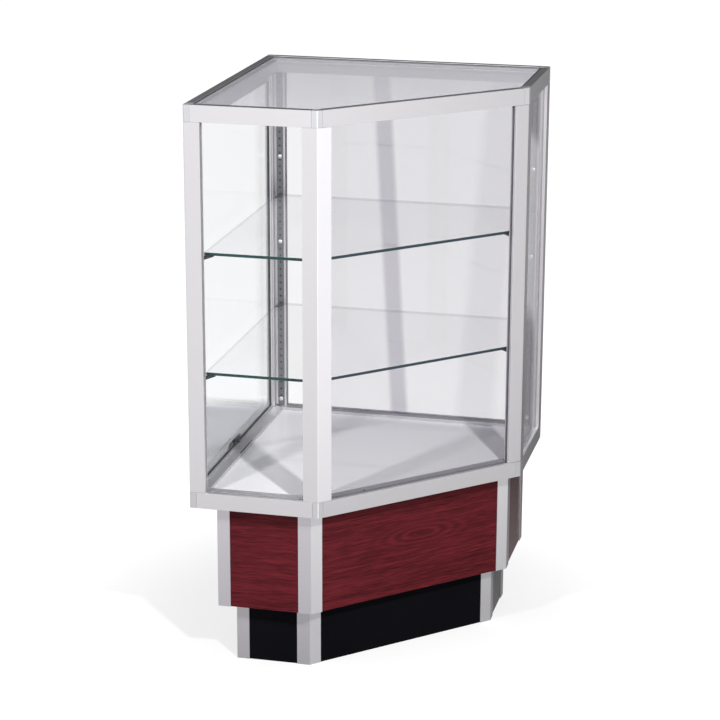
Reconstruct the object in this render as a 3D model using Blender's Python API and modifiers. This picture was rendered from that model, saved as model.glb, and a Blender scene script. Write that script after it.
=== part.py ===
"""Corner display case: an aluminium and glass case with a lift-up rear door, on a wood-faced base and a kick.

The plan is a square with one corner cut off by the splayed front. Its corners run counterclockwise:
back, left, front_left, front_right, right. A side is named for what it faces and starts at its corner.
"""

import math

import bmesh
import bpy
from mathutils import Matrix, Vector

# Overall sizes
LENGTH = 0.508
FRONT_LENGTH = 0.4064
HEIGHT = 0.9652
CASE_BOTTOM = 0.287
BASE_BOTTOM = 0.1054
CLEAR = 0.0003

# Frame
RAIL_HEIGHT = 0.0275
TOP_RAIL_DEPTH = 0.021
BOTTOM_RAIL_DEPTH = 0.028
TOP_FLANGE = 0.013
SQUARE_ARM = 0.0115
SPLAY_ARM = 0.0095
LEG_WIDTH = 0.0275
SPLAY_LEG_WIDTH = 0.0255
BACK_LEG_WIDTH = 0.033
LEG_DEPTH = 0.014
NOSE_RADIUS = 0.0025
NOSE_STEPS = 4
EDGE_ROUND = 0.0005
SHARP_EDGE = 60
SAME_POINT = 1e-6

# Glass
GLASS = 0.006
GLASS_RECESS = 0.006
GLASS_ENGAGED = 0.007
SLOT_DEPTH = 0.008
TOP_GLASS_MARGIN = 0.002
TOP_GLASS_DROP = 0.001

# Deck, carried on a lip along the bottom rails
DECK = 0.019
LIP = 0.003
LIP_REACH = 0.010

# Door
DOOR_GLASS = 0.0032
DOOR_RECESS = 0.0038
DOOR_GAP = 0.0015
SEAL_DEPTH = 0.0038
SEAL_WIDTH = 0.002
CLAMP_WALL = 0.0007
CLAMP_HEIGHT = 0.012
CLAMP_GRIP = 0.0085
PIVOT_HEADROOM = 0.0005
PIN_RADIUS = 0.0015
PIN_REACH = 0.006
STOP_GAP = 0.0008
STOP_DEPTH = 0.0028
STOP_REACH = 0.005
SILL_STOP_HEIGHT = 0.0035

# Lock
PULL_LENGTH = 0.077
PULL_HEIGHT = 0.007
PULL_PLATE = 0.0013
PULL_TAPER = 0.008
PULL_INNER_LENGTH = 0.034
PULL_INNER_PLATE = 0.0008
PULL_WEB = 0.020
BARREL_RADIUS = 0.0022
HEAD_RADIUS = 0.0028
HEAD_DEPTH = 0.0006
CAM_DEPTH = 0.0015
CAM_LENGTH = 0.0066
CAM_WIDTH = 0.0038
KEY_SLOT_WIDTH = 0.0008
KEY_SLOT_DEPTH = 0.0008
KEY_SLOT_HEIGHT = 0.0036

# Shelves
SHELF_GLASS = 0.0048
UPPER_SHELF = 0.7187
LOWER_SHELF = 0.5155
SHELF_DOOR_INSET = 0.022
SHELF_INSET = 0.030
SHELF_BACK_INSET = 0.028
STANDARD_WIDTH = 0.0115
STANDARD = 0.0015
STANDARD_CENTRE = 0.0235
HOLE_RADIUS = 0.002
HOLE_PITCH = 0.0127
HOLE_SIDES = 8
CLIP_WIDTH = 0.008
CLIP_ROOT = 0.006
CLIP_TIP = 0.002
CLIP_OVERLAP = 0.008

# Base and kick
BASE_BACK_INSET = 0.0394
BASE_SIDE_INSET = 0.0241
BASE_FRONT_INSET = 0.0305
KICK_BACK_INSET = 0.0635
KICK_SIDE_INSET = 0.0521
KICK_FRONT_INSET = 0.0572
BOARD = 0.016
TRIM = 0.0015
TRIM_FACE = 0.022
ROUND_SIDES = 24

CORNERS = ("back", "left", "front_left", "front_right", "right")
SIDES = ("back_left", "left", "front", "right", "back_right")
DOOR_SIDE = "back_left"
ANGLES = (90, 90, 135, 135, 90)

half = LENGTH / 2
splay = FRONT_LENGTH / math.sqrt(2)
CASE = [
    Vector((-half, half)),
    Vector((-half, -half)),
    Vector((half - splay, -half)),
    Vector((half, -half + splay)),
    Vector((half, half)),
]

rail_top = CASE_BOTTOM + RAIL_HEIGHT
head_bottom = HEIGHT - RAIL_HEIGHT
ledge_top = HEIGHT - TOP_GLASS_DROP - GLASS - CLEAR
deck_bottom = CASE_BOTTOM + LIP + CLEAR
door_mid = DOOR_RECESS + SEAL_DEPTH / 2
clamp_radius = DOOR_GLASS / 2 + CLEAR + CLAMP_WALL
stop_near = door_mid + max(SEAL_DEPTH / 2, clamp_radius) + STOP_GAP - CLEAR
pivot_height = head_bottom - PIVOT_HEADROOM - clamp_radius
door_bottom = rail_top + DOOR_GAP
door_glass_bottom = door_bottom + SEAL_WIDTH + CLEAR

bpy.context.scene.unit_settings.scale_length = 1
for leftover in list(bpy.data.objects):
    bpy.data.objects.remove(leftover)
parts = bpy.data.collections.new("corner_display_case")
cutters = bpy.data.collections.new("cutters")
for collection in (parts, cutters):
    bpy.context.scene.collection.children.link(collection)
cutters.hide_render = True


def finish(name, colour, roughness, metallic=0.0, alpha=1.0):
    """A Principled material of one colour."""
    material = bpy.data.materials.new(name)
    material.use_nodes = True
    shader = material.node_tree.nodes["Principled BSDF"]
    shader.inputs["Base Color"].default_value = (*colour, 1)
    shader.inputs["Roughness"].default_value = roughness
    shader.inputs["Metallic"].default_value = metallic
    shader.inputs["Alpha"].default_value = alpha
    return material


aluminium = finish("satin_aluminium", (0.66, 0.66, 0.68), 0.42, 0.9)
steel = finish("zinc_steel", (0.5, 0.5, 0.52), 0.35, 1.0)
clear_glass = finish("clear_glass", (0.86, 0.92, 0.91), 0.03, 0.0, 0.3)
mahogany = finish("mahogany_laminate", (0.16, 0.02, 0.025), 0.4)
black_laminate = finish("black_laminate", (0.01, 0.01, 0.012), 0.3)
black_plastic = finish("black_plastic", (0.02, 0.02, 0.022), 0.5)
dark_metal = finish("dark_metal", (0.09, 0.09, 0.1), 0.4, 0.6)
white_board = finish("white_laminate", (0.8, 0.8, 0.82), 0.45)


def direction(side):
    start, end = CASE[side], CASE[(side + 1) % 5]
    return (end - start).normalized()


def inward(side):
    along = direction(side)
    return Vector((-along.y, along.x))


def side_length(side):
    return (CASE[(side + 1) % 5] - CASE[side]).length


def inset_plan(insets):
    """The plan with each side moved inwards by its own inset: neighbouring sides meet at the new corners."""
    moved = []
    for corner in range(5):
        before = (corner - 1) % 5
        cosine = direction(before).dot(direction(corner))
        sine = direction(before).cross(direction(corner))
        along = (insets[before] - insets[corner] * cosine) / sine
        moved.append(CASE[corner] + direction(corner) * along + inward(corner) * insets[corner])
    return moved


def on_side(side, along, depth):
    """The plan point at this distance along a side from its start, and this depth inside it."""
    return CASE[side] + direction(side) * along + inward(side) * depth


def before_corner(corner, along, depth):
    """The plan point on the side that ends at a corner, measured back from that corner."""
    side = (corner - 1) % 5
    return on_side(side, side_length(side) - along, depth)


def section_frame(side):
    """Axes for a section drawn as (depth, height) and run along its side."""
    return axes(inward(side).to_3d(), Vector((0, 0, 1)), direction(side).to_3d(), CASE[side].to_3d())


def face_frame(side):
    """Axes for an outline drawn on a side as (along, height), with its third axis outwards."""
    return axes(direction(side).to_3d(), Vector((0, 0, 1)), -inward(side).to_3d(), CASE[side].to_3d())


def axes(x, y, z, origin):
    matrix = Matrix((x, y, z)).transposed().to_4x4()
    matrix.translation = origin
    return matrix


def prism(name, loops, low, high, material, matrix=None, home=parts):
    """A flat outline, with holes as further loops, filled from low to high along its third axis."""
    curve = bpy.data.curves.new(name, "CURVE")
    curve.dimensions = "2D"
    curve.fill_mode = "BOTH"
    curve.extrude = (high - low) / 2
    for loop in loops:
        spline = curve.splines.new("POLY")
        spline.points.add(len(loop) - 1)
        for point, place in zip(spline.points, loop):
            point.co = (place[0], place[1], 0, 1)
        spline.use_cyclic_u = True
    drawn = bpy.data.objects.new(name, curve)
    home.objects.link(drawn)
    bpy.context.view_layer.update()
    mesh = bpy.data.meshes.new_from_object(drawn.evaluated_get(bpy.context.evaluated_depsgraph_get()))
    bpy.data.objects.remove(drawn)
    solid = bmesh.new()
    solid.from_mesh(mesh)
    bmesh.ops.remove_doubles(solid, verts=solid.verts, dist=SAME_POINT)
    bmesh.ops.recalc_face_normals(solid, faces=solid.faces)
    bmesh.ops.translate(solid, verts=solid.verts, vec=(0, 0, (low + high) / 2))
    solid.to_mesh(mesh)
    solid.free()
    mesh.name = name
    mesh.materials.clear()
    mesh.materials.append(material)
    made = bpy.data.objects.new(name, mesh)
    made.matrix_world = matrix or Matrix()
    home.objects.link(made)
    return made


def trim_off(piece, point, normal):
    """Cuts off what lies beyond a plane of the piece's own axes, and closes the cut."""
    solid = bmesh.new()
    solid.from_mesh(piece.data)
    everything = solid.verts[:] + solid.edges[:] + solid.faces[:]
    cut = bmesh.ops.bisect_plane(
        solid, geom=everything, plane_co=point, plane_no=normal, clear_outer=True, dist=SAME_POINT
    )
    rim = [edge for edge in cut["geom_cut"] if isinstance(edge, bmesh.types.BMEdge)]
    bmesh.ops.holes_fill(solid, edges=rim)
    bmesh.ops.recalc_face_normals(solid, faces=solid.faces)
    solid.to_mesh(piece.data)
    solid.free()


def combine(piece, other, operation, solver="EXACT"):
    change = piece.modifiers.new(operation.lower(), "BOOLEAN")
    change.operation = operation
    change.solver = solver
    change.object = other
    other.hide_render = True
    other.display_type = "WIRE"


def soften(piece):
    """Breaks the sharp edges of a metal or wood piece."""
    bevel = piece.modifiers.new("edges", "BEVEL")
    bevel.width = EDGE_ROUND
    bevel.segments = 1
    bevel.limit_method = "ANGLE"
    bevel.angle_limit = math.radians(SHARP_EDGE)


def rod(name, start, end, radius, home=cutters):
    """A round bar between two points."""
    solid = bmesh.new()
    bmesh.ops.create_cone(
        solid, cap_ends=True, segments=ROUND_SIDES, radius1=radius, radius2=radius, depth=(end - start).length
    )
    mesh = bpy.data.meshes.new(name)
    solid.to_mesh(mesh)
    solid.free()
    made = bpy.data.objects.new(name, mesh)
    turn = (end - start).to_track_quat("Z", "Y").to_matrix().to_4x4()
    made.matrix_world = Matrix.Translation((start + end) / 2) @ turn
    home.objects.link(made)
    return made


def box_outline(low, high):
    return [(low[0], low[1]), (high[0], low[1]), (high[0], high[1]), (low[0], high[1])]


def lean(corner):
    """How far the mitre line at a corner moves along a side for each unit of depth."""
    return 1 / math.tan(math.radians(ANGLES[corner] / 2))


def arm(corner):
    return SQUARE_ARM if ANGLES[corner] == 90 else SPLAY_ARM


def leg(corner, side):
    if SIDES[side] == "back_right":
        return BACK_LEG_WIDTH
    return LEG_WIDTH if ANGLES[corner] == 90 else SPLAY_LEG_WIDTH


def nose(corner, radius=NOSE_RADIUS, plan=CASE):
    """The arc that rounds an outer corner of a plan, from the side before it to the side after it."""
    before = (corner - 1) % 5
    reach = radius * lean(corner)
    centre = plan[corner] + direction(corner) * reach + inward(corner) * radius
    first = -inward(before)
    turn = math.radians(180 - ANGLES[corner])
    arc = []
    for step in range(NOSE_STEPS + 1):
        angle = turn * step / NOSE_STEPS
        spoke = Vector((
            first.x * math.cos(angle) - first.y * math.sin(angle),
            first.x * math.sin(angle) + first.y * math.cos(angle),
        ))
        arc.append(centre + spoke * radius)
    return arc


def cut_to_corners(rail, side, depth):
    """Cuts both ends of a rail to the corner pieces, and past their depth to the mitre line."""
    for corner, along_end, way in ((side, 0, 1), ((side + 1) % 5, side_length(side), -1)):
        to_block = (depth * lean(corner) - arm(corner)) / depth
        for start, slope in ((arm(corner), to_block), (0, lean(corner))):
            normal = Vector((slope, 0, -way)).normalized()
            point = Vector((0, 0, along_end + way * start)) - normal * CLEAR
            trim_off(rail, point, normal)


def glass_slot(edge, way):
    """The slot that a rail has for the fixed glass, from its edge into the metal."""
    near = GLASS_RECESS - CLEAR
    far = GLASS_RECESS + GLASS + CLEAR
    return [(near, edge), (near, edge + way * SLOT_DEPTH), (far, edge + way * SLOT_DEPTH), (far, edge)]


def top_rail(side):
    section = [(0, HEIGHT), (0, head_bottom)]
    if SIDES[side] != DOOR_SIDE:
        section += glass_slot(head_bottom, 1)
    section += [
        (TOP_RAIL_DEPTH, head_bottom),
        (TOP_RAIL_DEPTH, ledge_top),
        (TOP_FLANGE, ledge_top),
        (TOP_FLANGE, HEIGHT),
    ]
    rail = prism("top_rail_" + SIDES[side], [section], 0, side_length(side), aluminium, section_frame(side))
    cut_to_corners(rail, side, TOP_RAIL_DEPTH)
    soften(rail)


def bottom_rail(side):
    reach = BOTTOM_RAIL_DEPTH + LIP_REACH
    section = [
        (0, CASE_BOTTOM),
        (reach, CASE_BOTTOM),
        (reach, CASE_BOTTOM + LIP),
        (BOTTOM_RAIL_DEPTH, CASE_BOTTOM + LIP),
        (BOTTOM_RAIL_DEPTH, rail_top),
    ]
    if SIDES[side] == DOOR_SIDE:
        sill = rail_top + SILL_STOP_HEIGHT
        section += [
            (stop_near + STOP_DEPTH, rail_top),
            (stop_near + STOP_DEPTH, sill),
            (stop_near, sill),
            (stop_near, rail_top),
        ]
    else:
        section += reversed(glass_slot(rail_top, -1))
    section.append((0, rail_top))
    name = "bottom_rail_" + SIDES[side]
    rail = prism(name, [section], 0, side_length(side), aluminium, section_frame(side))
    cut_to_corners(rail, side, BOTTOM_RAIL_DEPTH)
    if SIDES[side] == DOOR_SIDE:
        cut_sill_to_posts(rail, side)
    soften(rail)


def cut_sill_to_posts(rail, side):
    """Stops the sill stop short of the posts' own stops."""
    end = LEG_WIDTH + STOP_REACH + CLEAR
    for low, high in ((0, end), (side_length(side) - end, side_length(side))):
        past = stop_near + STOP_DEPTH + CLEAR
        outline = box_outline((stop_near - CLEAR, rail_top), (past, rail_top + BOARD))
        cutter = prism("sill_end", [outline], low, high, aluminium, section_frame(side), cutters)
        combine(rail, cutter, "DIFFERENCE")


def corner_outline(corner, depth):
    inner = on_side(corner, depth * lean(corner), depth)
    return nose(corner) + [on_side(corner, arm(corner), 0), inner, before_corner(corner, arm(corner), 0)]


def top_corner(corner, rebate):
    outline = corner_outline(corner, TOP_RAIL_DEPTH)
    block = prism("top_corner_" + CORNERS[corner], [outline], head_bottom, HEIGHT, aluminium)
    combine(block, rebate, "DIFFERENCE")
    soften(block)


def bottom_corner(corner):
    outline = corner_outline(corner, BOTTOM_RAIL_DEPTH)
    soften(prism("bottom_corner_" + CORNERS[corner], [outline], CASE_BOTTOM, rail_top, aluminium))


def leg_end(corner, side, place):
    """The end of a post's leg, from its outer face inwards: the glass slot, or the door's stop."""
    width = leg(corner, side)
    if SIDES[side] == DOOR_SIDE:
        far = stop_near + STOP_DEPTH
        steps = [(width, stop_near), (width + STOP_REACH, stop_near), (width + STOP_REACH, far), (width, far)]
    else:
        near = GLASS_RECESS - CLEAR
        far = GLASS_RECESS + GLASS + CLEAR
        steps = [(width, near), (width - SLOT_DEPTH, near), (width - SLOT_DEPTH, far), (width, far)]
    steps = [(width, 0)] + steps + [(width, LEG_DEPTH)]
    return [place(along, depth) for along, depth in steps]


def post(corner, pin_bore):
    after = leg_end(corner, corner, lambda along, depth: on_side(corner, along, depth))
    before = leg_end(corner, (corner - 1) % 5, lambda along, depth: before_corner(corner, along, depth))
    inner = on_side(corner, LEG_DEPTH * lean(corner), LEG_DEPTH)
    outline = nose(corner) + after + [inner] + before[::-1]
    made = prism("post_" + CORNERS[corner], [outline], rail_top + CLEAR, head_bottom - CLEAR, aluminium)
    if CORNERS[corner] in ("back", "left"):
        combine(made, pin_bore, "DIFFERENCE", "MANIFOLD")
    soften(made)


def fixed_glass(side):
    start = leg(side, side) - GLASS_ENGAGED
    end = side_length(side) - leg((side + 1) % 5, side) + GLASS_ENGAGED
    low = (GLASS_RECESS, rail_top - GLASS_ENGAGED)
    high = (GLASS_RECESS + GLASS, head_bottom + GLASS_ENGAGED)
    prism("glass_" + SIDES[side], [box_outline(low, high)], start, end, clear_glass, section_frame(side))


def door(side):
    """The glass leaf with its edge seal, and the clamp along its top that turns on two pins."""
    start = LEG_WIDTH + DOOR_GAP
    end = side_length(side) - LEG_WIDTH - DOOR_GAP
    clamp_bottom = pivot_height - CLAMP_HEIGHT
    seal_top = clamp_bottom - CLEAR
    seal = [
        (start, seal_top),
        (start, door_bottom),
        (end, door_bottom),
        (end, seal_top),
        (end - SEAL_WIDTH, seal_top),
        (end - SEAL_WIDTH, door_bottom + SEAL_WIDTH),
        (start + SEAL_WIDTH, door_bottom + SEAL_WIDTH),
        (start + SEAL_WIDTH, seal_top),
    ]
    seal_back = -DOOR_RECESS - SEAL_DEPTH
    prism("door_edge_seal", [seal], seal_back, -DOOR_RECESS, black_plastic, face_frame(side))

    left = start + SEAL_WIDTH + CLEAR
    right = end - SEAL_WIDTH - CLEAR
    top = clamp_bottom + CLAMP_GRIP - CLEAR
    notch = PULL_WEB / 2 + CLEAR
    notch_top = door_glass_bottom + PULL_HEIGHT + CLEAR
    middle = side_length(side) / 2
    leaf = [
        (left, door_glass_bottom),
        (middle - notch, door_glass_bottom),
        (middle - notch, notch_top),
        (middle + notch, notch_top),
        (middle + notch, door_glass_bottom),
        (right, door_glass_bottom),
        (right, top),
        (left, top),
    ]
    back, front = -door_mid - DOOR_GLASS / 2, -door_mid + DOOR_GLASS / 2
    prism("door_glass", [leaf], back, front, clear_glass, face_frame(side))

    grip = DOOR_GLASS / 2 + CLEAR
    section = []
    for step in range(ROUND_SIDES // 2 + 1):
        angle = 2 * math.pi * step / ROUND_SIDES
        reach, rise = clamp_radius * math.cos(angle), clamp_radius * math.sin(angle)
        section.append((door_mid + reach, pivot_height + rise))
    section += [
        (door_mid - clamp_radius, clamp_bottom),
        (door_mid - grip, clamp_bottom),
        (door_mid - grip, clamp_bottom + CLAMP_GRIP),
        (door_mid + grip, clamp_bottom + CLAMP_GRIP),
        (door_mid + grip, clamp_bottom),
        (door_mid + clamp_radius, clamp_bottom),
    ]
    clamp = prism("door_hinge_clamp", [section], start, end, aluminium, section_frame(side))
    combine(clamp, hinge_rod("hinge_pin", side, PIN_REACH, PIN_RADIUS), "UNION")


def hinge_rod(name, side, reach, radius):
    """A round bar on the door's axis, this far into the posts at both ends."""
    start = on_side(side, LEG_WIDTH - reach, door_mid).to_3d()
    end = on_side(side, side_length(side) - LEG_WIDTH + reach, door_mid).to_3d()
    rise = Vector((0, 0, pivot_height))
    return rod(name, start + rise, end + rise, radius)


def lock(side):
    """The pull that grips the notch in the door glass, and the cylinder that turns in it."""
    middle = side_length(side) / 2
    outer_far = door_mid - DOOR_GLASS / 2 - CLEAR
    outer_near = outer_far - PULL_PLATE
    inner_near = door_mid + DOOR_GLASS / 2 + CLEAR
    inner_far = inner_near + PULL_INNER_PLATE
    steps = [
        (PULL_LENGTH / 2, outer_near),
        (PULL_LENGTH / 2, outer_far),
        (PULL_WEB / 2, outer_far),
        (PULL_WEB / 2, inner_near),
        (PULL_INNER_LENGTH / 2, inner_near),
        (PULL_INNER_LENGTH / 2, inner_far),
    ]
    outline = [on_side(side, middle + along, depth) for along, depth in steps]
    outline += [on_side(side, middle - along, depth) for along, depth in reversed(steps)]
    low = door_glass_bottom
    high = low + PULL_HEIGHT
    pull = prism("lock_pull", [outline], low, high, dark_metal)
    run = direction(side).to_3d()
    for way in (-1, 1):
        corner = on_side(side, middle + way * PULL_LENGTH / 2, outer_near).to_3d() + Vector((0, 0, low))
        trim_off(pull, corner, Vector((0, 0, PULL_TAPER)) + run * way * PULL_HEIGHT)

    rise = Vector((0, 0, (low + high) / 2))
    near = on_side(side, middle, outer_near - CLEAR - HEAD_DEPTH).to_3d() + rise
    seat = on_side(side, middle, outer_near - CLEAR).to_3d() + rise
    barrel_end = on_side(side, middle, stop_near + STOP_DEPTH + CLEAR).to_3d() + rise
    cam_end = on_side(side, middle, stop_near + STOP_DEPTH + CLEAR + CAM_DEPTH).to_3d() + rise
    bore = rod("lock_bore", near, barrel_end, BARREL_RADIUS + CLEAR)
    combine(pull, bore, "DIFFERENCE")

    head, barrel, cam = HEAD_DEPTH, (barrel_end - near).length, (cam_end - near).length
    profile = [(0, 0), (HEAD_RADIUS, 0), (HEAD_RADIUS, head)]
    profile += [(BARREL_RADIUS, head), (BARREL_RADIUS, cam), (0, cam)]
    cylinder = turned("lock_cylinder", profile, near, inward(side).to_3d(), dark_metal)
    tip = [(0, -CAM_WIDTH / 2)]
    for step in range(ROUND_SIDES // 2 + 1):
        angle = math.pi * (step / (ROUND_SIDES // 2) - 0.5)
        reach = CAM_LENGTH - CAM_WIDTH / 2 + CAM_WIDTH / 2 * math.cos(angle)
        tip.append((reach, CAM_WIDTH / 2 * math.sin(angle)))
    tip.append((0, CAM_WIDTH / 2))
    cam_frame = axes(run, Vector((0, 0, 1)), run.cross(Vector((0, 0, 1))), near)
    plate = prism("cam_plate", [tip], -cam, -barrel - CLEAR, dark_metal, cam_frame, cutters)
    combine(cylinder, plate, "UNION")
    slot_half = Vector((KEY_SLOT_WIDTH, KEY_SLOT_HEIGHT)) / 2
    slot_outline = box_outline(-slot_half, slot_half)
    slot = prism("key_slot", [slot_outline], -KEY_SLOT_DEPTH, KEY_SLOT_DEPTH, dark_metal, cam_frame, cutters)
    combine(cylinder, slot, "DIFFERENCE")


def turned(name, profile, start, along, material):
    """A profile of (radius, distance) turned round an axis that starts at a point."""
    mesh = bpy.data.meshes.new(name)
    solid = bmesh.new()
    points = [solid.verts.new((radius, 0, distance)) for radius, distance in profile]
    for first, second in zip(points, points[1:]):
        solid.edges.new((first, second))
    edges = solid.verts[:] + solid.edges[:]
    bmesh.ops.spin(
        solid, geom=edges, axis=(0, 0, 1), cent=(0, 0, 0), angle=math.tau, steps=ROUND_SIDES, use_merge=True
    )
    bmesh.ops.remove_doubles(solid, verts=solid.verts, dist=SAME_POINT)
    bmesh.ops.recalc_face_normals(solid, faces=solid.faces)
    solid.to_mesh(mesh)
    solid.free()
    mesh.materials.append(material)
    made = bpy.data.objects.new(name, mesh)
    made.matrix_world = Matrix.Translation(start) @ along.to_track_quat("Z", "Y").to_matrix().to_4x4()
    parts.objects.link(made)
    return made


def shelf(level, top):
    insets = (SHELF_DOOR_INSET, SHELF_INSET, SHELF_INSET, SHELF_INSET, SHELF_BACK_INSET)
    prism(level + "_shelf", [inset_plan(insets)], top - SHELF_GLASS, top, clear_glass)
    seat = top - SHELF_GLASS - CLEAR
    for corner in (0, 4):
        standard_clip(level, corner, seat, LEG_DEPTH + 2 * CLEAR + STANDARD, SHELF_BACK_INSET + CLIP_OVERLAP)
    for corner in (1, 3):
        post_clip(level, corner, seat)


def clip_section(start, end, seat):
    """A shelf clip seen from the side: deep at its root and thin at its tip."""
    bottom = seat - CLIP_ROOT
    return [(start, seat), (start, bottom), (start + CLIP_TIP, bottom), (end, seat - CLIP_TIP), (end, seat)]


def standard_clip(level, corner, seat, start, end):
    """A clip that hooks on a shelf standard and reaches out from the back."""
    side = SIDES.index("back_right")
    middle = STANDARD_CENTRE if SIDES[corner] == "back_right" else side_length(side) - STANDARD_CENTRE
    section = [clip_section(start, end, seat)]
    name = level + "_clip_" + CORNERS[corner]
    low, high = middle - CLIP_WIDTH / 2, middle + CLIP_WIDTH / 2
    prism(name, section, low, high, black_plastic, section_frame(side))


def post_clip(level, corner, seat):
    """A clip that sits in the inner corner of a post and reaches out along its bisector."""
    half_angle = math.radians(ANGLES[corner] / 2)
    outwards = CASE[corner] - on_side(corner, lean(corner), 1)
    reach_in = -outwards.normalized()
    root = (LEG_DEPTH + CLEAR) / math.sin(half_angle) + CLIP_WIDTH / 2 * lean(corner)
    end = SHELF_INSET / math.sin(half_angle) + CLIP_OVERLAP
    frame = axes(
        reach_in.to_3d(), Vector((0, 0, 1)), reach_in.to_3d().cross(Vector((0, 0, 1))), CASE[corner].to_3d()
    )
    section = [clip_section(root, end, seat)]
    prism(level + "_clip_" + CORNERS[corner], section, -CLIP_WIDTH / 2, CLIP_WIDTH / 2, black_plastic, frame)


def standard(corner):
    """A steel strip on the back post's leg, with a row of round holes that the clips hook into."""
    side = SIDES.index("back_right")
    middle = STANDARD_CENTRE if SIDES[corner] == "back_right" else side_length(side) - STANDARD_CENTRE
    low, high = rail_top + 2 * CLEAR, head_bottom - 2 * CLEAR
    strip = box_outline((middle - STANDARD_WIDTH / 2, low), (middle + STANDARD_WIDTH / 2, high))
    rings = []
    count = int((high - low) / HOLE_PITCH) - 1
    first = (low + high) / 2 - HOLE_PITCH * (count - 1) / 2
    for hole in range(count):
        ring = []
        for step in range(HOLE_SIDES):
            angle = math.tau * (step + 0.5) / HOLE_SIDES
            rise = first + hole * HOLE_PITCH + HOLE_RADIUS * math.sin(angle)
            ring.append((middle + HOLE_RADIUS * math.cos(angle), rise))
        rings.append(ring)
    near = -LEG_DEPTH - CLEAR
    frame = face_frame(side)
    made = prism("standard_" + CORNERS[corner], [strip], near - STANDARD, near, steel, frame)
    holes = prism("standard_holes", rings, near - 2 * STANDARD, near + STANDARD, steel, frame, cutters)
    combine(made, holes, "DIFFERENCE")


def pedestal(name, insets, low, high, board_material, trim_name, floor):
    """A hollow box of boards with a metal trim over each of its corners."""
    plan = inset_plan(insets)
    faced = inset_plan([inset + TRIM + CLEAR for inset in insets])
    hollow = inset_plan([inset + TRIM + CLEAR + BOARD for inset in insets])
    body = prism(name, [faced], low, high, board_material)
    cavity = prism(name + "_cavity", [hollow], low + floor, high + BOARD, board_material, home=cutters)
    combine(body, cavity, "DIFFERENCE")
    for corner in range(5):
        after, before = direction(corner), -direction((corner - 1) % 5)
        inner = inset_plan([inset + TRIM for inset in insets])[corner]
        outline = nose(corner, TRIM, plan) + [
            plan[corner] + after * TRIM_FACE,
            plan[corner] + after * TRIM_FACE + inward(corner) * TRIM,
            inner,
            plan[corner] + before * TRIM_FACE + inward((corner - 1) % 5) * TRIM,
            plan[corner] + before * TRIM_FACE,
        ]
        prism(trim_name + CORNERS[corner], [outline], low, high, aluminium)


def case_frame():
    door_side = SIDES.index(DOOR_SIDE)
    rebate = prism(
        "glass_rebate", [inset_plan([TOP_FLANGE] * 5)], ledge_top, HEIGHT + BOARD, aluminium, home=cutters
    )
    pin_bore = hinge_rod("pin_bore", door_side, PIN_REACH + CLEAR, PIN_RADIUS + CLEAR)
    for number in range(5):
        top_rail(number)
        bottom_rail(number)
        top_corner(number, rebate)
        bottom_corner(number)
        post(number, pin_bore)


def glazing():
    for side in range(5):
        if SIDES[side] != DOOR_SIDE:
            fixed_glass(side)
    top = HEIGHT - TOP_GLASS_DROP
    prism("top_glass", [inset_plan([TOP_FLANGE + TOP_GLASS_MARGIN] * 5)], top - GLASS, top, clear_glass)


def inside():
    deck = inset_plan([BOTTOM_RAIL_DEPTH + CLEAR] * 5)
    prism("deck_panel", [deck], deck_bottom, deck_bottom + DECK, white_board)
    standard(0)
    standard(4)
    shelf("upper", UPPER_SHELF)
    shelf("lower", LOWER_SHELF)


def stand():
    base = (BASE_BACK_INSET, BASE_SIDE_INSET, BASE_FRONT_INSET, BASE_SIDE_INSET, BASE_BACK_INSET)
    kick = (KICK_BACK_INSET, KICK_SIDE_INSET, KICK_FRONT_INSET, KICK_SIDE_INSET, KICK_BACK_INSET)
    pedestal("base_carcass", base, BASE_BOTTOM, CASE_BOTTOM - CLEAR, mahogany, "base_trim_", BOARD)
    pedestal("kick_plinth", kick, 0, BASE_BOTTOM - CLEAR, black_laminate, "kick_trim_", -BOARD)


def carry(axis_name, place, names):
    """Parents the pieces that move together to an empty on their joint's axis."""
    empty = bpy.data.objects.new(axis_name, None)
    empty.location = place
    parts.objects.link(empty)
    for name in names:
        piece = bpy.data.objects[name]
        piece.parent = empty
        piece.matrix_parent_inverse = Matrix.Translation(-Vector(place))


def moving_pieces():
    side = SIDES.index(DOOR_SIDE)
    middle = on_side(side, side_length(side) / 2, door_mid)
    door_pieces = ("door_glass", "door_edge_seal", "door_hinge_clamp", "lock_pull")
    carry("rear_door_axis", (middle.x, middle.y, pivot_height), door_pieces)
    carry("lock_axis", (middle.x, middle.y, door_glass_bottom + PULL_HEIGHT / 2), ("lock_cylinder",))
    for level, top in (("upper", UPPER_SHELF), ("lower", LOWER_SHELF)):
        clips = [level + "_clip_" + corner for corner in ("back", "left", "front_right", "right")]
        carry(level + "_shelf_height", (0, 0, top), [level + "_shelf"] + clips)


case_frame()
glazing()
door(SIDES.index(DOOR_SIDE))
lock(SIDES.index(DOOR_SIDE))
inside()
stand()
moving_pieces()
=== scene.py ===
# %% [markdown]
# A corner display case, dressed in Blender.
# The frame, the glass, the shelves, the door and the wood-faced base come as finished solids. This
# notebook gives each of them its surface, adds the small hardware that shows from close by, and sets up
# a plain studio round the case.

# %% Load the frame
import math

import bmesh
import bpy
import numpy as np
from mathutils import Matrix, Vector


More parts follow.
